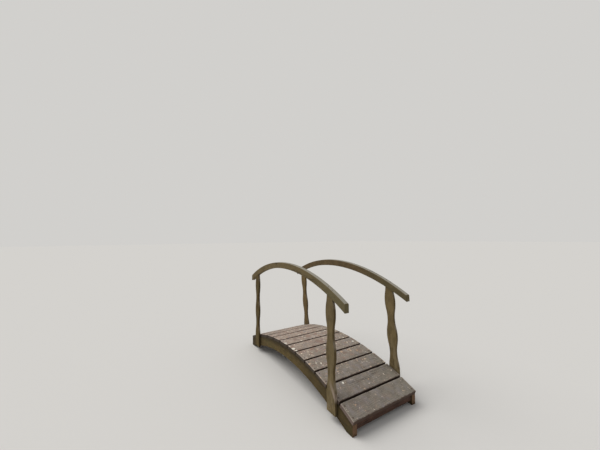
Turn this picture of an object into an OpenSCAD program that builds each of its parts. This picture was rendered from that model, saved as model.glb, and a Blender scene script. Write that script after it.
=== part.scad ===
// Arched wooden garden footbridge.
// X runs along the bridge with the near end at +X, Y runs across it and Z is up.
// The origin is on the ground, midway between the ends and the sides.

/* [Deck] */
// Width of the deck across the bridge
deck_w = 650; // [500:1:900]
// Number of boards along the deck
board_count = 12; // [8:1:15]
// Width of one board along the bridge
board_w = 140; // [90:1:160]
// Gap between two boards at their top faces
board_gap = 13; // [6:0.5:20]
// Thickness of a board
board_t = 28; // [18:0.5:40]
// Bevel along a board's upper edges
board_ease = 3; // [1:0.5:6]
// Radius of the arch along the deck's top
deck_r = 2200; // [1900:5:3000]
// Height of the deck's top above the ground at its two ends
end_h = 100; // [85:1:140]

/* [Stringers] */
// Depth of a stringer, from its seats to its curved underside
stringer_d = 90; // [70:1:110]
// Thickness of a stringer across the bridge
stringer_t = 40; // [30:1:60]
// Distance that the last board's lower edge runs past a stringer's end
end_lap = 1; // [0:0.5:8]

/* [End battens] */
// Thickness of an end batten along the bridge
batten_t = 30; // [18:1:40]
// Depth of an end batten
batten_d = 45; // [25:1:50]
// Distance from a stringer's end to the batten's outer face
batten_inset = 8; // [0:0.5:15]

/* [Posts] */
// Distance from a stringer's end to a post's centre
post_inset = 195; // [150:1:250]
// Thickness of a post across the bridge
post_t = 22; // [16:0.5:30]
// Width of a post at its foot and at its bulges
post_w = 95; // [85:1:110]
// Width of a post at its waists
waist_w = 60; // [45:1:70]
// Height of one wave along a post's edge
wave_h = 285; // [260:1:300]
// Height of the lower waist above a post's foot
waist_z = 264; // [240:1:290]
// Lean of the right-hand posts and rail in over the deck, in degrees
lean = 3.7; // [0:0.1:5]

/* [Handrails] */
// Height of a rail's crown above the deck's crown
rail_h = 768; // [700:1:900]
// Radius of the arch along a rail's top
rail_r = 1800; // [1500:5:2400]
// Depth of the left-hand rail at its crown
left_rail_d = 56; // [40:1:70]
// Upright depth of the left-hand rail at its ends
left_rail_end_d = 63; // [45:1:75]
// Depth of the right-hand rail at its crown
right_rail_d = 61; // [40:1:70]
// Upright depth of the right-hand rail at its ends
right_rail_end_d = 52; // [45:1:75]
// Thickness of a rail across the bridge
rail_t = 38; // [25:1:50]
// Length of the left-hand rail past the centre of each of its posts
rail_overrun = 165; // [120:1:190]
// Length of the right-hand rail past the centre of its near post
right_near_overrun = 185; // [120:1:190]
// Length of the right-hand rail past the centre of its far post
right_far_overrun = 120; // [90:1:190]
// Clearance between a post's coped top and the rail above it
cope_gap = 0.2; // [0.1:0.1:0.5]

/* [Hidden] */
$fn = 360;
eps = 1;

// Angle between two boards, and of the last board from the crown
board_step = 2 * asin((board_w + board_gap) / 2 / deck_r);
end_angle = (board_count - 1) / 2 * board_step;

// The deck's arch: its centre lies so that the last board's upper edge is at end_h
seat_r = deck_r - board_t;
under_r = seat_r - stringer_d;
arch_z = end_h - deck_r * cos(end_angle) + board_w / 2 * sin(end_angle);
crown_h = arch_z + deck_r;
outer_y = deck_w / 2;
stringer_half = seat_r * sin(end_angle) + board_w / 2 * cos(end_angle) - end_lap;

// The posts and the rails' arch
post_x = stringer_half - post_inset;
post_foot_z = arch_z + sqrt(pow(under_r, 2) - pow(post_x, 2));
rail_crown_h = crown_h + rail_h;
rail_half = post_x + rail_overrun;
rail_rise = rail_r - sqrt(pow(rail_r, 2) - pow(rail_half, 2));

// The leaning posts bend level with the highest edge of the deck beside them
bend_z = arch_z + sqrt(pow(deck_r, 2) + pow(board_w / 2, 2) - pow(post_x - post_w / 2, 2));

// Underside of the rail at a side: how far its arch rises, and that arch's radius and centre
function crown_d(side) = side > 0 ? right_rail_d : left_rail_d;
function under_rise(side) = rail_rise - crown_d(side) + (side > 0 ? right_rail_end_d : left_rail_end_d);
function rail_under_r(side) = (pow(rail_half, 2) / under_rise(side) + under_rise(side)) / 2;
function rail_under_z(side) = rail_crown_h - crown_d(side) - rail_under_r(side);

// Angle of board number i from the crown, the first at the near end
function board_angle(i) = ((board_count + 1) / 2 - i) * board_step;

// Name of board number i
function board_name(i) = str("deck_board_", i < 10 ? "0" : "", i);

// Stands an X-Z outline up and gives it a thickness towards +Y
module upright(t) {
    rotate([90, 0, 0])
        translate([0, 0, -t])
            linear_extrude(t)
                children();
}

// Puts its child on the left side and, for side = 1, on the right side
module on_side(side) {
    mirror([0, side > 0 ? 1 : 0, 0])
        children();
}

// Puts its child at the near end and, for end = -1, at the far end
module at_end(end) {
    mirror([end < 0 ? 1 : 0, 0, 0])
        children();
}

// Turns its child in over the deck on the right side, about the edge where the posts bend
module leaning(side) {
    translate([0, -outer_y, bend_z])
        rotate([side > 0 ? -lean : 0, 0, 0])
            translate([0, outer_y, -bend_z])
                children();
}

// Outline of the deck's seats: one flat for each board, closed below
module seat_outline() {
    vertex_r = seat_r / cos(board_step / 2);
    last = board_count / 2;
    polygon(concat(
        [for (i = [-last : last])
            [vertex_r * sin(i * board_step), arch_z + vertex_r * cos(i * board_step)]],
        [[stringer_half + deck_w, 0], [-stringer_half - deck_w, 0]]
    ));
}

// Stringer: a plank on edge, flat under each board, arched below, with level feet
module stringer(side) {
    color([0.29, 0.26, 0.16])
        on_side(side)
            translate([0, -outer_y, 0])
                upright(stringer_t)
                    difference() {
                        intersection() {
                            seat_outline();
                            translate([-stringer_half, 0])
                                square([2 * stringer_half, crown_h]);
                        }
                        translate([0, arch_z])
                            circle(under_r);
                    }
}

// End batten: a board on edge between the stringers, under the last deck board
module end_batten(end) {
    outer_x = stringer_half - batten_inset;
    seat_z = arch_z + (seat_r - outer_x * sin(end_angle)) / cos(end_angle);
    color([0.24, 0.15, 0.12])
        at_end(end)
            translate([0, -outer_y + stringer_t, 0])
                upright(deck_w - 2 * stringer_t)
                    intersection() {
                        seat_outline();
                        translate([outer_x - batten_t, seat_z - batten_d])
                            square([batten_t, batten_d + board_t]);
                    }
}

// Deck board: flat, with its two upper edges eased
module deck_board(i) {
    half = board_w / 2;
    color([0.47, 0.43, 0.41])
        translate([0, 0, arch_z])
            rotate([0, board_angle(i), 0])
                translate([0, -outer_y, seat_r])
                    upright(deck_w)
                        polygon([
                            [-half, 0],
                            [half, 0],
                            [half, board_t - board_ease],
                            [half - board_ease, board_t],
                            [-half + board_ease, board_t],
                            [-half, board_t - board_ease]
                        ]);
}

// Outline of a post from its foot up: each edge is a run of tangent arcs,
// waists cut in and bulges left between them
module post_outline() {
    mid_half = (post_w + waist_w) / 4;
    swing = (post_w - waist_w) / 2;
    arc_r = wave_h / 4 / sin(2 * atan(2 * swing / wave_h));
    bulge_z = waist_z - wave_h / 2;
    top = rail_crown_h - post_foot_z;
    difference() {
        union() {
            translate([-mid_half, 0])
                square([2 * mid_half, top]);
            translate([-post_w / 2, 0])
                square([post_w, bulge_z]);
            for (z = [bulge_z : wave_h : top])
                for (edge = [0, 1])
                    mirror([edge, 0])
                        bulge(z, arc_r);
        }
        for (z = [waist_z : wave_h : top])
            for (edge = [0, 1])
                mirror([edge, 0])
                    translate([waist_w / 2 + arc_r, z])
                        circle(arc_r);
    }
}

// One bulge of a post's edge: the cap of a circle, centred at height z
module bulge(z, arc_r) {
    intersection() {
        translate([post_w / 2 - arc_r, z])
            circle(arc_r);
        translate([0, z - wave_h / 4])
            square([post_w, wave_h / 2]);
    }
}

// Post: a flat board with wavy edges, on the stringer's outer face, coped under the rail
module upright_post() {
    translate([0, -outer_y - post_t, 0])
        upright(post_t)
            intersection() {
                translate([post_x, post_foot_z])
                    post_outline();
                translate([0, rail_under_z(-1)])
                    circle(rail_under_r(-1) - cope_gap);
            }
}

// The same post with a lean: its blank bends beside the deck, and its cope leans with the rail
module leaning_post() {
    intersection() {
        translate([post_x - post_w, -outer_y, 0])
            rotate([90, 0, 90])
                linear_extrude(2 * post_w)
                    bent_blank();
        translate([post_x, -outer_y - post_w, post_foot_z])
            upright(3 * post_w)
                post_outline();
        leaning(1)
            translate([0, -outer_y - post_w, rail_under_z(1)])
                upright(3 * post_w)
                    circle(rail_under_r(1) - cope_gap);
    }
}

// Blank of a leaning post seen along the bridge, mitred where it bends
module bent_blank() {
    tip = [rail_crown_h * sin(lean), bend_z + rail_crown_h * cos(lean)];
    polygon([
        [0, 0],
        [0, bend_z],
        tip,
        tip - post_t * [cos(lean), -sin(lean)],
        [-post_t, bend_z + post_t * tan(lean / 2)],
        [-post_t, 0]
    ]);
}

// Post at one end and side: those on the right lean, unless the lean is set to none
module post(end, side) {
    color([0.37, 0.33, 0.24])
        at_end(end)
            on_side(side)
                if (side > 0 && lean > 0)
                    leaning_post();
                else
                    upright_post();
}

// Handrail: an arched board on edge over the posts, cut upright at its ends
module handrail(side) {
    far_x = -post_x - (side > 0 ? right_far_overrun : rail_overrun);
    near_x = post_x + (side > 0 ? right_near_overrun : rail_overrun);
    color([0.40, 0.35, 0.27])
        on_side(side)
            leaning(side)
                translate([0, -outer_y - post_t, 0])
                    upright(rail_t)
                        intersection() {
                            difference() {
                                translate([0, rail_crown_h - rail_r])
                                    circle(rail_r);
                                translate([0, rail_under_z(side)])
                                    circle(rail_under_r(side));
                            }
                            translate([far_x, 0])
                                square([near_x - far_x, rail_crown_h + eps]);
                        }
}

stringer(-1);  // stringer_left
stringer(1);  // stringer_right
end_batten(1);  // end_batten_near
end_batten(-1);  // end_batten_far
for (i = [1 : board_count])
    deck_board(i);
post(1, -1);  // post_near_left
post(1, 1);  // post_near_right
post(-1, -1);  // post_far_left
post(-1, 1);  // post_far_right
handrail(-1);  // handrail_left
handrail(1);  // handrail_right
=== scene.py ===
import math

import bpy
from mathutils import Euler, Matrix, Vector, noise


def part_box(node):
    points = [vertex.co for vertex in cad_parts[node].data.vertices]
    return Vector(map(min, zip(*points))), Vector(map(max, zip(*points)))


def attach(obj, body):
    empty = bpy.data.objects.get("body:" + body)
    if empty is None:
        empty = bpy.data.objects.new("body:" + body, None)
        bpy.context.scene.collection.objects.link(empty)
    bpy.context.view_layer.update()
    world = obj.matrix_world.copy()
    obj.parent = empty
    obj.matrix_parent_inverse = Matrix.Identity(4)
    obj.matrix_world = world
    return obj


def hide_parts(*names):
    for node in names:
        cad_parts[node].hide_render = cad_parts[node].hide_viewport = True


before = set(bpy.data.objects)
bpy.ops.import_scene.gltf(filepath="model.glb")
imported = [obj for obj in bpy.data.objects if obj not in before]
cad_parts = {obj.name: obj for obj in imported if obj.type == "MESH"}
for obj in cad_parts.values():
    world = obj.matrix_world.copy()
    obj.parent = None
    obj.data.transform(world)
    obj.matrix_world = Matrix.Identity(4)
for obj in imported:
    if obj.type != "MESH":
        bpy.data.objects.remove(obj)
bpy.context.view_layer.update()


# Stringers
# Two planks on edge, sawn to the bridge's arch, that carry the deck on one flat a board.
# Weathered softwood, dark olive brown and grown over in places, with the grain lengthwise.
STRINGER_THICK = 0.040
DECK_RADIUS = 2.200
BOARD_WIDTH, BOARD_LENGTH, BOARD_THICK = 0.140, 0.650, 0.028
BOARD_GAP = 0.013
OUTER_Y = BOARD_LENGTH / 2
SEAT_RADIUS = DECK_RADIUS - BOARD_THICK
BOARD_STEP = 2 * math.asin((BOARD_WIDTH + BOARD_GAP) / 2 / DECK_RADIUS)

# Height of the arch's centre, under the ridge where the flats of the two middle boards meet
ARCH_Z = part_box("stringer_left")[1].z - SEAT_RADIUS / math.cos(BOARD_STEP / 2)

# Rounding of a plank's sawn edges, and the places of the screws that hold the end battens
SAWN_EDGE = 0.002
BATTEN_SCREW_X, BATTEN_SCREW_Z = 0.852, 0.055

# The cone that cuts a screw's tapered seat: its two radii, its height and how deep its middle lies
CUTTER_TIP, CUTTER_MOUTH, CUTTER_HEIGHT, CUTTER_SUNK = 0.0030, 0.0064, 0.006, 0.001
SCREW_SIDES = 14


def tone(red, green, blue):
    """A colour as it is seen, 0 to 255, in the values that a shader takes."""
    seen = [part / 255 for part in (red, green, blue)]
    return tuple(((part + 0.055) / 1.055) ** 2.4 if part > 0.04045 else part / 12.92
                 for part in seen) + (1.0,)


def add(tree, kind, feeds, **settings):
    """A new node whose inputs are fed by other nodes' sockets or set to values."""
    node = tree.nodes.new(kind)
    for name, value in settings.items():
        setattr(node, name, value)
    for place, value in feeds.items():
        if isinstance(value, bpy.types.NodeSocket):
            tree.links.new(value, node.inputs[place])
        else:
            node.inputs[place].default_value = value
    return node


def maths(tree, operation, a, b=0.0):
    """The result of one Math node."""
    return add(tree, "ShaderNodeMath", {0: a, 1: b}, operation=operation).outputs[0]


def times(tree, a, b):
    """One value times another."""
    return maths(tree, "MULTIPLY", a, b)


def vector_maths(tree, operation, a, b=(0, 0, 0)):
    """The result of one Vector Math node: a number if it measures, or else a vector."""
    node = add(tree, "ShaderNodeVectorMath", {0: a, 1: b}, operation=operation)
    measures = operation in ("LENGTH", "DISTANCE", "DOT_PRODUCT")
    return node.outputs["Value" if measures else "Vector"]


def parts_of(tree, vector):
    """A vector's X, Y and Z."""
    return add(tree, "ShaderNodeSeparateXYZ", {0: vector}).outputs


def facing(tree):
    """X, Y and Z of the way that the surface faces."""
    return parts_of(tree, add(tree, "ShaderNodeNewGeometry", {}).outputs["Normal"])


def ease(tree, value, low, high, to_low=0.0, to_high=1.0):
    """A soft step of a value between two limits."""
    return add(tree, "ShaderNodeMapRange",
               {"Value": value, "From Min": low, "From Max": high,
                "To Min": to_low, "To Max": to_high},
               interpolation_type="SMOOTHSTEP").outputs[0]


def tint(tree, amount, first, second, way="MIX"):
    """One colour mixed with another."""
    return add(tree, "ShaderNodeMix", {0: amount, 6: first, 7: second},
               data_type="RGBA", blend_type=way).outputs[2]


def lay(tree, colour, mask, strength, seen):
    """A colour with another, given as it is seen, laid over it where the mask says."""
    return tint(tree, times(tree, mask, strength), colour, tone(*seen))


def mottled(tree, colour, blotch, darkest, palest):
    """A colour made darker and paler in soft blotches."""
    light = ease(tree, blotch, 0.3, 0.7, darkest, palest)
    grey = add(tree, "ShaderNodeCombineColor", {0: light, 1: light, 2: light}).outputs[0]
    return tint(tree, 1.0, colour, grey, "MULTIPLY")


def cloud(tree, vector, scale, detail=3.0, roughness=0.5, stretch=(1, 1, 1), give="Fac"):
    """Soft noise, drawn out along an axis where stretch is small."""
    drawn = vector_maths(tree, "MULTIPLY", vector, stretch)
    return add(tree, "ShaderNodeTexNoise",
               {"Vector": drawn, "Scale": scale, "Detail": detail,
                "Roughness": roughness}).outputs[give]


def start_group(name, numbers, outputs):
    """A group of nodes that takes a place and some numbers, and the sockets they come in by."""
    group = bpy.data.node_groups.new(name, "ShaderNodeTree")
    group.interface.new_socket("Vector", in_out="INPUT", socket_type="NodeSocketVector")
    for label in numbers:
        group.interface.new_socket(label, in_out="INPUT", socket_type="NodeSocketFloat")
    for label in outputs:
        group.interface.new_socket(label, in_out="OUTPUT", socket_type="NodeSocketFloat")
    return group, group.nodes.new("NodeGroupInput").outputs


def finish_group(group, results):
    """Leads the results out of the group."""
    leave = group.nodes.new("NodeGroupOutput")
    for label, socket in results.items():
        group.links.new(socket, leave.inputs[label])
    return group


def wood_grain_group():
    """Sawn softwood with its grain along X: fibres, growth rings and drying cracks."""
    group, enter = start_group("wood_grain", ("Ring Width", "Cracking"),
                               ("Fibres", "Rings", "Cracks", "Height"))
    place = enter["Vector"]
    fibres = cloud(group, place, 330.0, 5.0, 0.65, (0.05, 1, 1))
    fine = cloud(group, place, 1500.0, 2.0, 0.6, (0.02, 1, 1))
    fibres = maths(group, "ADD", times(group, fibres, 0.7), times(group, fine, 0.3))

    # Rings lie about the tree's heart, which runs along X and strays a little
    stray = cloud(group, place, 7.0, 2.0, 0.4, (0.3, 1, 1), give="Color")
    stray = vector_maths(group, "MULTIPLY", stray, (0, 0.07, 0.07))
    spoke = vector_maths(group, "MULTIPLY", vector_maths(group, "ADD", stray, place), (0, 1, 1))
    turns = maths(group, "DIVIDE", vector_maths(group, "LENGTH", spoke), enter["Ring Width"])
    wave = maths(group, "SINE", times(group, turns, 2 * math.pi))
    rings = ease(group, wave, 0.1, 1.0)

    # Cracks are thin lines where drawn-out noise passes its middle, in some places only
    line = cloud(group, place, 75.0, 3.0, 0.55, (0.018, 1, 1))
    line = maths(group, "ABSOLUTE", maths(group, "SUBTRACT", line, 0.5))
    thin = ease(group, line, 0.004, 0.014, 1.0, 0.0)
    where = cloud(group, place, 10.0, 2.0, 0.5, (0.18, 1, 1))
    least = maths(group, "SUBTRACT", 0.75, times(group, enter["Cracking"], 0.4))
    where = ease(group, maths(group, "SUBTRACT", where, least), 0.0, 0.06)
    cracks = times(group, thin, where)

    height = times(group, fibres, 0.5)
    height = maths(group, "SUBTRACT", height, times(group, rings, 0.16))
    height = maths(group, "SUBTRACT", height, times(group, cracks, 1.2))
    return finish_group(group, {"Fibres": fibres, "Rings": rings, "Cracks": cracks,
                                "Height": height})


def weathering_and_shade_group():
    """Worn edges, green growth and faces that look up from years outdoors, and dirt with painted
    shade in corners.
    """
    group, enter = start_group("weathering_and_shade", ("Growth",),
                               ("Wear", "Dirt and Shade", "Growth", "Upward", "Blotch"))
    place = enter["Vector"]
    normal = add(group, "ShaderNodeNewGeometry", {}).outputs["Normal"]
    rounded = add(group, "ShaderNodeBevel", {"Radius": 0.006}, samples=8).outputs[0]
    turned = vector_maths(group, "DOT_PRODUCT", normal, rounded)
    patchy = ease(group, cloud(group, place, 45.0, 4.0, 0.6), 0.35, 0.62)
    wear = times(group, ease(group, turned, 0.985, 0.8), patchy)
    # Dirt and painted shade: darker where nearby faces close in, in corners and between parts
    shut = add(group, "ShaderNodeAmbientOcclusion", {"Distance": 0.05}, samples=8).outputs["AO"]
    dirt_and_shade = ease(group, shut, 0.95, 0.35)
    upward = ease(group, parts_of(group, normal)["Z"], 0.55, 0.9)
    coarse = cloud(group, place, 9.0, 5.0, 0.6)
    fine = cloud(group, place, 70.0, 4.0, 0.7)
    mixed = maths(group, "ADD", times(group, coarse, 0.7), times(group, fine, 0.3))
    least = maths(group, "SUBTRACT", 0.68, times(group, enter["Growth"], 0.3))
    growth = ease(group, maths(group, "SUBTRACT", mixed, least), 0.0, 0.12)
    blotch = cloud(group, place, 16.0, 4.0, 0.6)
    return finish_group(group, {"Wear": wear, "Dirt and Shade": dirt_and_shade, "Growth": growth,
                                "Upward": upward, "Blotch": blotch})


wood_grain = wood_grain_group()
weathering_and_shade = weathering_and_shade_group()


def start_material(name):
    """A new material: itself, its nodes, its shader and the place on the piece."""
    material = bpy.data.materials.new(name)
    material.use_nodes = True
    tree = material.node_tree
    place = add(tree, "ShaderNodeTexCoord", {}).outputs["Object"]
    return material, tree, tree.nodes["Principled BSDF"], place


def finish_wood(tree, shader, grain, colour, rough, gloss):
    """Gives the shader a wood's colour, with its fibres' roughness and its grain's relief."""
    tree.links.new(colour, shader.inputs["Base Color"])
    tree.links.new(ease(tree, grain["Fibres"], 0.2, 0.8, rough + 0.08, rough - 0.08),
                   shader.inputs["Roughness"])
    shader.inputs["Specular IOR Level"].default_value = gloss
    bump = add(tree, "ShaderNodeBump", {"Height": grain["Height"], "Strength": 0.6,
                                        "Distance": 0.0012})
    tree.links.new(bump.outputs[0], shader.inputs["Normal"])


def weathered_wood(name, turn, shift, pale, deep, grown, bleached, growth, bleach,
                   ring=0.008, cracking=0.5, rough=0.8, stains=None):
    """Old unpainted wood. turn lays the grain along the piece and shift picks the plank."""
    material, tree, shader, place = start_material(name)
    along = add(tree, "ShaderNodeMapping", {"Vector": place, "Rotation": turn,
                                            "Location": shift}).outputs[0]
    grain = add(tree, "ShaderNodeGroup", {"Vector": along, "Ring Width": ring,
                                          "Cracking": cracking}, node_tree=wood_grain).outputs
    years_and_shade = add(tree, "ShaderNodeGroup", {"Vector": place, "Growth": growth},
                node_tree=weathering_and_shade).outputs
    colour = tint(tree, ease(tree, grain["Fibres"], 0.3, 0.7), tone(*deep), tone(*pale))
    colour = lay(tree, colour, grain["Rings"], 0.35, deep)
    colour = mottled(tree, colour, years_and_shade["Blotch"], 0.82, 1.14)
    colour = lay(tree, colour, years_and_shade["Growth"], 0.55, grown)
    colour = lay(tree, colour, years_and_shade["Upward"], bleach, bleached)
    if stains:
        colour = stains(tree, place, colour)
    rubbed = [part * 1.3 + 12 for part in pale]
    corner_dirt_and_shade = [part * 0.45 for part in deep]
    in_cracks = [part * 0.35 for part in deep]
    colour = lay(tree, colour, years_and_shade["Wear"], 0.25, rubbed)
    # Dirt and painted shade in corners and between parts
    colour = lay(tree, colour, years_and_shade["Dirt and Shade"], 0.55, corner_dirt_and_shade)
    colour = lay(tree, colour, grain["Cracks"], 0.8, in_cracks)
    finish_wood(tree, shader, grain, colour, rough, gloss=0.2)
    return material


def smooth_off(piece):
    """Smooths the rounded edges of the selected piece beside faces that stay flat."""
    bpy.ops.object.shade_smooth_by_angle(angle=math.radians(35))
    flat = piece.modifiers.new("flat", "WEIGHTED_NORMAL")
    flat.keep_sharp = True
    bpy.ops.object.modifier_apply(modifier="flat")


def eased_copy(node, name, edge, material, top_edge=None):
    """A piece of the CAD node's shape with its sharp edges rounded, those on top by top_edge."""
    bpy.ops.object.select_all(action="DESELECT")
    piece = bpy.data.objects.new(name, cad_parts[node].data.copy())
    bpy.context.collection.objects.link(piece)
    bpy.context.view_layer.objects.active = piece
    piece.select_set(True)
    bpy.ops.object.mode_set(mode="EDIT")
    bpy.ops.mesh.select_all(action="SELECT")
    bpy.ops.mesh.remove_doubles(threshold=0.00002)
    bpy.ops.mesh.dissolve_limited(angle_limit=math.radians(0.2))
    bpy.ops.object.mode_set(mode="OBJECT")
    mesh = piece.data
    meeting = {line.key: [] for line in mesh.edges}
    for face in mesh.polygons:
        for key in face.edge_keys:
            meeting[key].append(face.normal)

    # Only sharp edges are rounded. One on top has a face that looks up and none that looks down
    widest = max(edge, top_edge or 0.0)
    weights = mesh.attributes.new("bevel_weight_edge", "FLOAT", "EDGE")
    for line, weight in zip(mesh.edges, weights.data):
        one, other = meeting[line.key]
        if one.angle(other) > math.radians(25):
            on_top = top_edge and max(one.z, other.z) > 0.6 and min(one.z, other.z) > -0.3
            weight.value = (top_edge if on_top else edge) / widest
    rounding = piece.modifiers.new("rounding", "BEVEL")
    rounding.width = widest
    rounding.segments = 3 if top_edge else 2
    rounding.limit_method = "WEIGHT"
    bpy.ops.object.modifier_apply(modifier="rounding")
    smooth_off(piece)
    piece.data.materials.clear()
    piece.data.materials.append(material)
    return piece


def sink_screws(piece, places):
    """Cuts a tapered seat for a screw at each place, a point on the wood and the way out."""
    bpy.ops.object.select_all(action="DESELECT")
    seats = []
    for spot, outward in places:
        bpy.ops.mesh.primitive_cone_add(
            vertices=SCREW_SIDES, radius1=CUTTER_TIP, radius2=CUTTER_MOUTH, depth=CUTTER_HEIGHT,
            location=spot - CUTTER_SUNK * outward,
            rotation=outward.to_track_quat("Z", "Y").to_euler())
        seats.append(bpy.context.object)
    for seat in seats:
        seat.select_set(True)
    bpy.context.view_layer.objects.active = seats[0]
    bpy.ops.object.join()
    cutter = bpy.context.object
    bpy.ops.object.select_all(action="DESELECT")
    bpy.context.view_layer.objects.active = piece
    piece.select_set(True)
    cut = piece.modifiers.new("seats", "BOOLEAN")
    cut.operation = "DIFFERENCE"
    cut.solver = "EXACT"
    cut.object = cutter
    bpy.ops.object.modifier_apply(modifier="seats")
    bpy.data.objects.remove(cutter)
    smooth_off(piece)


def hand_over(piece, slot, *nodes):
    """Puts the piece on the bridge's one body and hides the nodes it stands for; its slot is not
    used.
    """
    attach(piece, "root")
    if nodes:
        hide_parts(*nodes)


def board_shadow_dark_ends_end_grain(tree, place, colour):
    """Painted shadow under the boards along the stringer's top, darker wood towards its two ends,
    and end grain gone dry.
    """
    # Painted shadow of the boards in a ragged band along the stringer's top
    spoke = vector_maths(tree, "ADD", place, (0, 0, -ARCH_Z))
    reach = vector_maths(tree, "LENGTH", vector_maths(tree, "MULTIPLY", spoke, (1, 0, 1)))
    ragged = times(tree, cloud(tree, place, 40.0, 3.0, 0.6), 0.03)
    under_boards = ease(tree, maths(tree, "ADD", reach, ragged),
                        SEAT_RADIUS - 0.03, SEAT_RADIUS + 0.012)
    # Darker towards the two ends
    along = parts_of(tree, place)["X"]
    at_ends = maths(tree, "MAXIMUM", ease(tree, along, -0.42, -0.80),
                    ease(tree, along, 0.05, 0.5, 0.0, 0.55))
    shadow_and_dark_ends = maths(tree, "MAXIMUM", under_boards, at_ends)
    colour = lay(tree, colour, shadow_and_dark_ends, 0.7, (48, 38, 22))
    end_grain = ease(tree, maths(tree, "ABSOLUTE", facing(tree)["X"]), 0.85, 0.95)
    pores = ease(tree, cloud(tree, place, 210.0, 5.0, 0.7, (1, 1, 0.5)), 0.36, 0.58, 0.3, 0.8)
    return lay(tree, colour, end_grain, pores, (134, 102, 80))


stringer_wood = weathered_wood(
    "stringer_wood", (0, 0, 0), (0.3, 0.2, 0.11), pale=(112, 94, 56), deep=(75, 62, 35),
    grown=(78, 74, 42), bleached=(100, 88, 68), growth=0.6, bleach=0.3, cracking=0.55,
    stains=board_shadow_dark_ends_end_grain)
batten_screws = []
for side, sign in (("left", -1), ("right", 1)):
    node = "stringer_" + side
    stringer = eased_copy(node, side + "_stringer", SAWN_EDGE, stringer_wood)
    places = [(Vector((x, sign * OUTER_Y, BATTEN_SCREW_Z)), Vector((0, sign, 0)))
              for x in (-BATTEN_SCREW_X, BATTEN_SCREW_X)]
    sink_screws(stringer, places)
    batten_screws += places
    hand_over(stringer, "stringer_wood", node)


# End battens
# A board on edge across each end, under the last deck board, that keeps the stringers apart.
# It stays damp and has gone dark red brown.
BATTEN_EDGE = 0.0015
batten_wood = weathered_wood(
    "batten_wood", (0, 0, math.pi / 2), (0.1, 0.05, 0.09), pale=(98, 72, 58),
    deep=(66, 46, 38), grown=(70, 66, 44), bleached=(104, 84, 72), growth=0.3, bleach=0.2,
    rough=0.7)
for end in ("near", "far"):
    node = "end_batten_" + end
    batten = eased_copy(node, end + "_batten", BATTEN_EDGE, batten_wood)
    hand_over(batten, "batten_wood", node)


# Deck boards
# Twelve boards laid across the stringers with dark gaps between, each screwed to its own flat.
# Sawn softwood gone mauve grey, with worn edges and the specks of dirt that fall on a path.
BOARD_COUNT = sum(name.startswith("deck_board_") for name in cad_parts)
CUTS_ALONG, CUTS_ACROSS = 52, 9
BOARD_EDGE = 0.0026
BOARD_SCREW_X = 0.043

# Greatest depth of each kind of wear, and how far it reaches in from a board's sides and ends
SAG, BITE, CHIP, SCUFF, NICK, FRAY = 0.0009, 0.0016, 0.0034, 0.0005, 0.0010, 0.0022
SIDE_REACH, END_REACH = 0.006, 0.010

# Flakes of dirt: cells in a metre, the share of them filled at the near and the far end, and
# the darkest and palest tone
FLAKES = (
    (30.0, 0.03, 0.62, (206, 170, 134), (248, 238, 220)),
    (42.0, 0.28, 0.72, (196, 156, 120), (244, 232, 214)),
    (85.0, 0.50, 0.66, (160, 130, 106), (230, 214, 192)),
    (190.0, 0.45, 0.50, (150, 124, 108), (210, 194, 176)))

# White spots on the boards: X, Y and radius
WHITE_SPOTS = ((0.093, -0.310, 0.017), (-0.050, -0.312, 0.014), (0.235, 0.280, 0.010),
               (0.630, -0.190, 0.009), (0.138, -0.305, 0.010))


def path_dirt_group():
    """Small flakes of dirt lying on a deck, each with its own size and shade."""
    group, enter = start_group("path_dirt", ("Size", "Share"), ("Flakes", "Shade"))
    stray = cloud(group, enter["Vector"], 120.0, 2.5, give="Color")
    stray = vector_maths(group, "MULTIPLY", stray, (0.026, 0.026, 0.026))
    cells = add(group, "ShaderNodeTexVoronoi",
                {"Vector": vector_maths(group, "ADD", enter["Vector"], stray),
                 "Scale": enter["Size"], "Exponent": 0.75}, distance="MINKOWSKI").outputs
    dice = add(group, "ShaderNodeSeparateColor", {0: cells["Color"]}).outputs
    there = maths(group, "LESS_THAN", dice[0], enter["Share"])
    reach = ease(group, dice[1], 0.0, 1.0, 0.20, 0.52)
    inside = maths(group, "SUBTRACT", reach, cells["Distance"])
    flakes = times(group, ease(group, inside, 0.0, 0.05), there)
    return finish_group(group, {"Flakes": flakes, "Shade": dice[2]})


path_dirt = path_dirt_group()


def board_tone(tree, place, own, grain, years_and_shade):
    """Cool grey at the near end, warmer and paler at the far one, the paleness painted light, and
    greener on the right, in patches.
    """
    split = parts_of(tree, place)
    fibres = ease(tree, grain["Fibres"], 0.3, 0.7)
    near_tone = tint(tree, fibres, tone(114, 107, 98), tone(156, 147, 134))
    far_tone = tint(tree, fibres, tone(148, 131, 118), tone(200, 182, 166))
    # Paler towards the far end: painted light, with the far boards' own warmer hue
    colour = tint(tree, ease(tree, split["X"], 0.70, -0.3), near_tone, far_tone)
    colour = lay(tree, colour, grain["Rings"], 0.3, (98, 84, 78))
    colour = mottled(tree, colour, years_and_shade["Blotch"], 0.84, 1.12)
    red = ease(tree, cloud(tree, own, 21.0, 3.0, 0.6), 0.5, 0.62)
    redder = ease(tree, split["X"], 0.62, 0.3, 0.12, 0.45)
    colour = lay(tree, colour, red, redder, (142, 102, 88))
    cool = ease(tree, cloud(tree, own, 17.0, 3.0, 0.6, (0.7, 1.3, 1)), 0.5, 0.65)
    colour = lay(tree, colour, cool, 0.4, (146, 140, 142))
    colour = lay(tree, colour, ease(tree, split["Y"], 0.02, 0.34), 0.3, (116, 114, 98))
    return lay(tree, colour, years_and_shade["Growth"], 0.5, (112, 112, 86))


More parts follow.
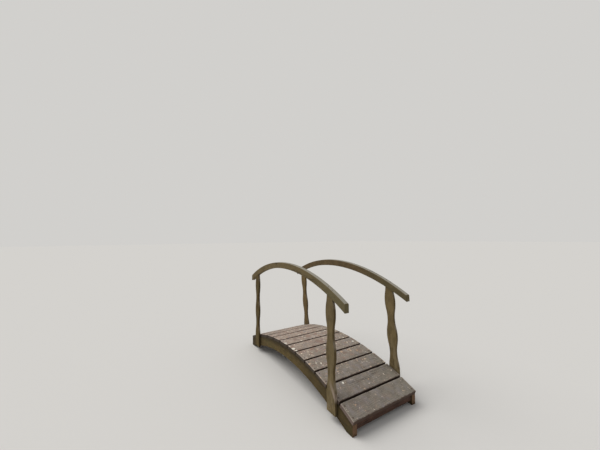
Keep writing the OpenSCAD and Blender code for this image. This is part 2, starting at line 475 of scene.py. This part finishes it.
def strewn_dirt(tree, place, top, colour):
    """Flakes of dirt on the boards' tops, thicker towards the far end."""
    thicker = ease(tree, parts_of(tree, place)["X"], 0.74, 0.34)
    for size, near_share, far_share, low, high in FLAKES:
        share = ease(tree, thicker, 0.0, 1.0, near_share, far_share)
        dirt_and_shade = add(tree, "ShaderNodeGroup", {"Vector": place, "Size": size, "Share": share},
                   node_tree=path_dirt).outputs
        shade = tint(tree, dirt_and_shade["Shade"], tone(*low), tone(*high))
        colour = tint(tree, times(tree, dirt_and_shade["Flakes"], top), colour, shade)
    return colour


def lit_and_shaded_rims(tree, place, ragged, colour):
    """A painted highlight along each board's far edge and its ends, which face the light, and
    painted shade along its near edge.
    """
    across = add(tree, "ShaderNodeAttribute", {}, attribute_name="across").outputs["Fac"]
    # Painted highlight along the far edge
    far_rim = ease(tree, maths(tree, "ADD", across, times(tree, ragged, 0.016)), -0.056, -0.062)
    colour = lay(tree, colour, far_rim, 0.55, (188, 174, 158))
    # Painted shade along the near edge
    near_rim = ease(tree, maths(tree, "ADD", across, times(tree, ragged, 0.032)), 0.078, 0.083)
    colour = lay(tree, colour, near_rim, 0.8, (72, 53, 44))
    # Painted highlight along the ends
    to_end = maths(tree, "ADD", maths(tree, "ABSOLUTE", parts_of(tree, place)["Y"]),
                   times(tree, ragged, 0.014))
    return lay(tree, colour, ease(tree, to_end, 0.320, 0.330), 0.5, (196, 182, 170))


def white_spots(tree, place, ragged, top, colour):
    """A few larger white spots with ragged outlines."""
    for x, y, radius in WHITE_SPOTS:
        flat = vector_maths(tree, "MULTIPLY", place, (1, 1, 0))
        away = vector_maths(tree, "DISTANCE", flat, (x, y, 0))
        away = maths(tree, "ADD", away, times(tree, ragged, 0.012))
        spot = ease(tree, away, radius + 0.007, radius + 0.005)
        colour = lay(tree, colour, spot, top, (232, 228, 214))
    return colour


def sawn_sides(tree, place, top, colour):
    """Dark damp sides, and end grain that is paler at the near end."""
    colour = lay(tree, colour, ease(tree, top, 0.6, 0.0), 0.85, (74, 53, 40))
    end_on = ease(tree, maths(tree, "ABSOLUTE", facing(tree)["Y"]), 0.5, 0.8)
    end_tone = tint(tree, ease(tree, parts_of(tree, place)["X"], 0.45, 0.8),
                    tone(52, 43, 30), tone(112, 96, 88))
    return tint(tree, times(tree, end_on, 0.85), colour, end_tone)


def deck_wood_material():
    """The deck's wood: grain across the bridge, pale dirt on top and dark sawn sides."""
    material, tree, shader, place = start_material("deck_wood")
    plank = add(tree, "ShaderNodeAttribute", {}, attribute_name="plank").outputs["Vector"]
    own = vector_maths(tree, "ADD", place, plank)
    along = add(tree, "ShaderNodeMapping",
                {"Vector": own, "Rotation": (0, 0, math.pi / 2)}).outputs[0]
    grain = add(tree, "ShaderNodeGroup", {"Vector": along, "Ring Width": 0.009,
                                          "Cracking": 0.45}, node_tree=wood_grain).outputs
    years_and_shade = add(tree, "ShaderNodeGroup", {"Vector": place, "Growth": 0.25},
                node_tree=weathering_and_shade).outputs
    top = years_and_shade["Upward"]
    ragged = cloud(tree, place, 75.0, 3.0, 0.65)
    colour = board_tone(tree, place, own, grain, years_and_shade)
    colour = strewn_dirt(tree, place, top, colour)
    colour = lit_and_shaded_rims(tree, place, ragged, colour)
    colour = white_spots(tree, place, ragged, top, colour)
    colour = sawn_sides(tree, place, top, colour)
    # Dirt and painted shade in the gaps between the boards and in corners
    colour = lay(tree, colour, years_and_shade["Dirt and Shade"], 0.6, (42, 29, 23))
    colour = lay(tree, colour, grain["Cracks"], 0.8, (44, 34, 28))
    finish_wood(tree, shader, grain, colour, rough=0.78, gloss=0.4)
    return material


def select_edges(mesh, wanted):
    """Goes into edit mode with only those edges selected whose two ends pass the test."""
    bpy.ops.object.mode_set(mode="EDIT")
    bpy.ops.mesh.select_mode(type="EDGE")
    bpy.ops.mesh.select_all(action="DESELECT")
    bpy.ops.object.mode_set(mode="OBJECT")
    for edge in mesh.edges:
        one, other = (mesh.vertices[end].co for end in edge.vertices)
        edge.select = wanted(one, other)
    bpy.ops.object.mode_set(mode="EDIT")


def board_blank(name):
    """A plank divided finely enough to wear down unevenly, its outer edges eased."""
    size = Vector((BOARD_WIDTH, BOARD_LENGTH, BOARD_THICK))
    bpy.ops.object.select_all(action="DESELECT")
    bpy.ops.mesh.primitive_cube_add(size=1)
    blank = bpy.context.object
    blank.name = name
    blank.scale = size
    bpy.ops.object.transform_apply(location=False, rotation=False, scale=True)
    for axis, cuts in ((1, CUTS_ALONG), (0, CUTS_ACROSS)):
        select_edges(blank.data, lambda a, b: abs((a - b)[axis]) > 0.9 * (a - b).length)
        bpy.ops.mesh.subdivide(number_cuts=cuts)

    def on_two_faces(a, b):
        """Whether an edge lies on two of the plank's six faces, and so along its rim."""
        return sum(all(abs(abs(end[i]) - size[i] / 2) < 1e-5 for end in (a, b))
                   for i in range(3)) >= 2

    select_edges(blank.data, on_two_faces)
    bpy.ops.mesh.bevel(offset=BOARD_EDGE, segments=2, profile=0.55)
    bpy.ops.object.mode_set(mode="OBJECT")
    return blank


def wear_down(mesh, seed):
    """Sags the top, bites and chips the long edges and frays the ends, each board its own way."""
    for vertex in mesh.vertices:
        co = vertex.co
        sag = 0.5 + 0.5 * noise.noise(Vector((co.x * 14, co.y * 4, seed)))
        bite = max(0.0, noise.noise(Vector((co.x * 40, co.y * 26, seed + 3))))
        chip = max(0.0, noise.noise(Vector((seed, co.y * 34, co.x * 9))))
        fray = 0.5 + 0.5 * noise.noise(Vector((co.x * 30, seed, co.z * 30)))
        side_on = max(0.0, 1 - (BOARD_WIDTH / 2 - abs(co.x)) / SIDE_REACH)
        end_on = max(0.0, 1 - (BOARD_LENGTH / 2 - abs(co.y)) / END_REACH)
        if co.z > 0:
            co.z -= SAG * sag + BITE * bite * max(side_on, end_on)
            co.x -= math.copysign(CHIP * chip * side_on, co.x)
        co.x -= math.copysign((SCUFF + NICK * bite) * side_on, co.x)
        co.y -= math.copysign(FRAY * fray * end_on, co.y)


def board_angle(number):
    """How far board number is turned about Y from the crown."""
    return ((BOARD_COUNT + 1) / 2 - number) * BOARD_STEP


def worn_board(number, material):
    """One board, worn and with its screws' seats, laid on its flat."""
    board = board_blank(f"board_{number:02d}")
    wear_down(board.data, seed=number * 7.3)
    up = Vector((0, 0, 1))
    screw_y = OUTER_Y - STRINGER_THICK / 2
    places = [(Vector((x, y, BOARD_THICK / 2)), up)
              for x in (-BOARD_SCREW_X, BOARD_SCREW_X) for y in (-screw_y, screw_y)]
    sink_screws(board, places)

    # How far each point lies from the board's middle line, for the material
    across = board.data.attributes.new("across", "FLOAT", "POINT")
    for vertex, item in zip(board.data.vertices, across.data):
        item.value = vertex.co.x

    angle = board_angle(number)
    spoke = Vector((math.sin(angle), 0, math.cos(angle)))
    board.location = spoke * (SEAT_RADIUS + BOARD_THICK / 2) + Vector((0, 0, ARCH_Z))
    board.rotation_euler = (0, angle, 0)
    bpy.context.view_layer.update()
    put = board.matrix_world.copy()
    board_screws.extend((put @ spot, put.to_3x3() @ up) for spot, up in places)
    bpy.ops.object.transform_apply(location=True, rotation=True, scale=True)

    # Where in the wood the board was cut, so that no two have the same grain
    plank = board.data.attributes.new("plank", "FLOAT_VECTOR", "POINT")
    own = Vector((0.19 * ((number * 5) % 7), 0.31 * ((number * 3) % 11), 0.06 + 0.011 * number))
    for item in plank.data:
        item.vector = own
    board.data.materials.append(material)
    return board


deck_wood = deck_wood_material()
board_screws = []
for number in range(1, BOARD_COUNT + 1):
    hand_over(worn_board(number, deck_wood), "deck_wood", f"deck_board_{number:02d}")


# Posts
# Four flat posts with wavy edges, screwed to the stringers' outer faces, coped under the rails.
# Softwood weathered olive brown with a green bloom, the grain upright.
POST_X, POST_THICK = 0.680, 0.022

# The screws in a post's foot: how far along from its middle, and how high
FOOT_SCREWS = ((-0.018, 0.085), (0.018, 0.125))

# A dry streak up the near left post's face: where it starts, and how it leans
STREAK_X, STREAK_Z, STREAK_LEAN = 0.712, 0.2, 0.5


def post_stains(foot, streak):
    """Painted shade on the sawn wavy edges, paler where they tilt up, and dry pink-brown wood near
    the foot.
    """
    def stains(tree, place, colour):
        split, normal = parts_of(tree, place), facing(tree)
        # Painted shade on the narrow sawn edges
        shaded_edges = ease(tree, maths(tree, "ABSOLUTE", normal["X"]), 0.45, 0.85)
        colour = lay(tree, colour, shaded_edges, 0.6, (72, 55, 28))
        looks_up = times(tree, ease(tree, normal["Z"], 0.06, 0.26), shaded_edges)
        colour = lay(tree, colour, looks_up, 0.6, (150, 138, 122))
        patchy = ease(tree, cloud(tree, place, 26.0, 3.0, 0.6, (1, 1, 0.35)), 0.4, 0.6)
        low = times(tree, ease(tree, split["Z"], 0.52, 0.24), patchy)
        colour = lay(tree, colour, low, foot, (140, 125, 96))
        drift = times(tree, maths(tree, "SUBTRACT", split["Z"], STREAK_Z), STREAK_LEAN)
        beside = maths(tree, "SUBTRACT", split["X"], STREAK_X)
        away = maths(tree, "ABSOLUTE", maths(tree, "ADD", drift, beside))
        fibrous = cloud(tree, place, 130.0, 4.0, 0.65, (1, 1, 0.12))
        torn = times(tree, maths(tree, "SUBTRACT", fibrous, 0.5), 0.05)
        away = maths(tree, "ADD", away, torn)
        dry = times(tree, ease(tree, away, 0.022, 0.004), ease(tree, split["Z"], 0.29, 0.19))
        dry = times(tree, dry, ease(tree, split["Z"], 0.08, 0.17))
        return lay(tree, colour, dry, streak, (162, 146, 134))
    return stains


post_screws = []
for end, side, growth, foot, streak, pale in (
        ("near", "left", 0.3, 0.4, 0.7, (118, 102, 69)),
        ("near", "right", 0.3, 0.8, 0.0, (131, 113, 77)),
        ("far", "left", 0.65, 0.1, 0.0, (102, 84, 45)),
        ("far", "right", 0.25, 0.2, 0.0, (127, 106, 68))):
    wood = weathered_wood(
        f"post_wood_{end}_{side}", (0, math.pi / 2, 0),
        (0.2 if end == "near" else 0.7, 0.08 if side == "left" else 0.3, 0.12),
        pale=pale, deep=[part * 0.75 for part in pale], grown=(90, 86, 54),
        bleached=(146, 138, 120), growth=growth, bleach=0.4, cracking=0.45,
        stains=post_stains(foot, streak))
    node = f"post_{end}_{side}"
    post = eased_copy(node, f"{end}_{side}_post", SAWN_EDGE, wood)
    x = POST_X if end == "near" else -POST_X
    outward = Vector((0, -1 if side == "left" else 1, 0))
    places = [(Vector((x + shift, 0, z)) + (OUTER_Y + POST_THICK) * outward, outward)
              for shift, z in FOOT_SCREWS]
    sink_screws(post, places)
    post_screws += places
    hand_over(post, "post_wood", node)


# Handrails
# An arched board on edge over the posts at each side, screwed down into them, its ends upright.
# Olive brown on its sides and bleached to a pale mauve grey on top, the grain lengthwise.
RAIL_RADIUS = 1.8
RAIL_CROWN_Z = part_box("handrail_left")[1].z
RAIL_TOP_EDGE = 0.006
RAIL_SCREW_SHIFT = 0.022

# The right-hand rail leans in about the line where its posts bend, beside the deck's edge
LEAN, BEND_Z = 3.7, 0.1935
upright_rail = Matrix.Identity(4)
bend = Matrix.Translation((0, OUTER_Y, BEND_Z))
leaning_rail = bend @ Matrix.Rotation(math.radians(LEAN), 4, "X") @ bend.inverted()


def greyed_near_end(tree, place, colour):
    """The rail's sides, greyer and greener towards the near end."""
    side_on = ease(tree, facing(tree)["Z"], 0.6, 0.3)
    greyed = ease(tree, parts_of(tree, place)["X"], 0.25, 0.75, 0.0, 0.5)
    return lay(tree, colour, greyed, side_on, (90, 87, 63))


rail_screws = []
for side, sign, lean, pale in (("left", -1, upright_rail, (118, 102, 70)),
                               ("right", 1, leaning_rail, (110, 91, 62))):
    wood = weathered_wood(
        f"rail_wood_{side}", (0, 0, 0), (0.4, 0.12 if side == "left" else 0.7, -0.72),
        pale=pale, deep=[part * 0.78 for part in pale], grown=(98, 91, 60),
        bleached=(158, 154, 142), growth=0.3, bleach=0.92, cracking=0.55, ring=0.010,
        stains=greyed_near_end)
    node = "handrail_" + side
    rail = eased_copy(node, side + "_handrail", SAWN_EDGE, wood, RAIL_TOP_EDGE)
    places = []
    for post_x in (-POST_X, POST_X):
        for x in (post_x - RAIL_SCREW_SHIFT, post_x + RAIL_SCREW_SHIFT):
            spoke = Vector((x, 0, math.sqrt(RAIL_RADIUS ** 2 - x ** 2)))
            spot = spoke + Vector((0, sign * (OUTER_Y + POST_THICK / 2),
                                   RAIL_CROWN_Z - RAIL_RADIUS))
            places.append((lean @ spot, lean.to_3x3() @ (spoke / RAIL_RADIUS)))
    sink_screws(rail, places)
    rail_screws += places
    hand_over(rail, "rail_wood", node)


# Screws
# Countersunk steel screws: two in each board over each stringer, two in each post's foot,
# two down through each rail into each post and one at each end of the battens.
HEAD_RADIUS, NECK_RADIUS, HEAD_DEPTH, HEAD_SUNK = 0.0042, 0.0022, 0.003, 0.0012

# The head's rim, the flat inside it and the socket in the middle
RIM_WIDTH, RIM_RISE, FLAT_WIDTH, SOCKET_DEPTH = 0.0005, 0.0002, 0.0019, 0.0012


def rusty_steel():
    """Old plated steel, dull and dark with rust in patches."""
    material, tree, shader, place = start_material("screw_steel")
    rust = ease(tree, cloud(tree, place, 420.0, 4.0, 0.6), 0.42, 0.6)
    tree.links.new(tint(tree, rust, tone(92, 86, 78), tone(98, 62, 40)),
                   shader.inputs["Base Color"])
    tree.links.new(ease(tree, rust, 0.0, 1.0, 0.75, 0.1), shader.inputs["Metallic"])
    tree.links.new(ease(tree, rust, 0.0, 1.0, 0.5, 0.85), shader.inputs["Roughness"])
    return material


def screw_head(material):
    """One tapered head, its top at the origin, with a round socket for the driver."""
    bpy.ops.object.select_all(action="DESELECT")
    bpy.ops.mesh.primitive_cone_add(
        vertices=SCREW_SIDES, radius1=NECK_RADIUS, radius2=HEAD_RADIUS, depth=HEAD_DEPTH,
        location=(0, 0, -HEAD_DEPTH / 2))
    head = bpy.context.object
    bpy.ops.object.transform_apply(location=True, rotation=True, scale=True)
    bpy.ops.object.mode_set(mode="EDIT")
    bpy.ops.mesh.select_mode(type="FACE")
    bpy.ops.mesh.select_all(action="DESELECT")
    bpy.ops.object.mode_set(mode="OBJECT")
    for face in head.data.polygons:
        face.select = face.normal.z > 0.9
    bpy.ops.object.mode_set(mode="EDIT")
    bpy.ops.mesh.inset(thickness=RIM_WIDTH, depth=RIM_RISE)
    bpy.ops.mesh.inset(thickness=FLAT_WIDTH)
    bpy.ops.mesh.extrude_region_move(TRANSFORM_OT_translate={"value": (0, 0, -SOCKET_DEPTH)})
    bpy.ops.object.mode_set(mode="OBJECT")
    head.data.materials.append(material)
    return head


head = screw_head(rusty_steel())
for name, places in (("batten_screws", batten_screws), ("board_screws", board_screws),
                     ("post_screws", post_screws), ("rail_screws", rail_screws)):
    bpy.ops.object.select_all(action="DESELECT")
    for spot, outward in places:
        screw = bpy.data.objects.new(name, head.data.copy())
        bpy.context.collection.objects.link(screw)
        screw.location = spot - HEAD_SUNK * outward
        screw.rotation_euler = outward.to_track_quat("Z", "Y").to_euler()
        screw.select_set(True)
    bpy.context.view_layer.objects.active = screw
    bpy.ops.object.join()
    screws = bpy.context.object
    bpy.ops.object.transform_apply(location=True, rotation=True, scale=True)
    screws.name = name
    hand_over(screws, "screw_steel")
bpy.data.objects.remove(head)


# Studio
# A plain pale floor that runs on into the backdrop, one broad soft light from high on the
# far left, and the camera.
FLOOR_SIZE = 160
CAMERA_PLACE = (2.1733, -1.5040, 1.2813)

# The camera's angles in degrees: up from level, round from straight across the bridge, and roll
LOOK_UP, LOOK_ROUND, ROLL = 3.02, 58.48, -0.49

bpy.ops.object.select_all(action="DESELECT")
bpy.ops.mesh.primitive_plane_add(size=FLOOR_SIZE)
floor = bpy.context.object
floor.name = "studio_floor"
floor_paint = bpy.data.materials.new("studio_floor")
floor_paint.use_nodes = True
paint = floor_paint.node_tree.nodes["Principled BSDF"]
paint.inputs["Base Color"].default_value = (0.72, 0.71, 0.69, 1)
paint.inputs["Roughness"].default_value = 1.0
paint.inputs["Specular IOR Level"].default_value = 0.0
floor.data.materials.append(floor_paint)

world = bpy.data.worlds.new("studio")
bpy.context.scene.world = world
world.use_nodes = True
air = world.node_tree
seen = add(air, "ShaderNodeLightPath", {}).outputs["Is Camera Ray"]
backdrop = tint(air, seen, (0.45, 0.45, 0.45, 1), (0.64, 0.63, 0.61, 1))
air.links.new(backdrop, air.nodes["Background"].inputs["Color"])

# The light shines from its place towards the origin
bpy.ops.object.light_add(type="SUN", location=(-1.8, -1.6, 3.2))
key = bpy.context.object
key.data.energy = 1.83
key.data.angle = math.radians(50)
key.data.color = (1.0, 0.98, 0.95)
key.rotation_euler = key.location.to_track_quat("Z", "Y").to_euler()

bpy.ops.object.camera_add(location=CAMERA_PLACE)
camera = bpy.context.object
aim = Euler((math.radians(90 + LOOK_UP), 0, math.radians(LOOK_ROUND))).to_matrix()
camera.rotation_euler = (aim @ Matrix.Rotation(math.radians(ROLL), 3, "Z")).to_euler()
camera.data.sensor_width = 36
camera.data.lens = 15.46
camera.data.clip_start = 0.01
bpy.context.scene.camera = camera
bpy.context.scene.view_settings.view_transform = "Standard"
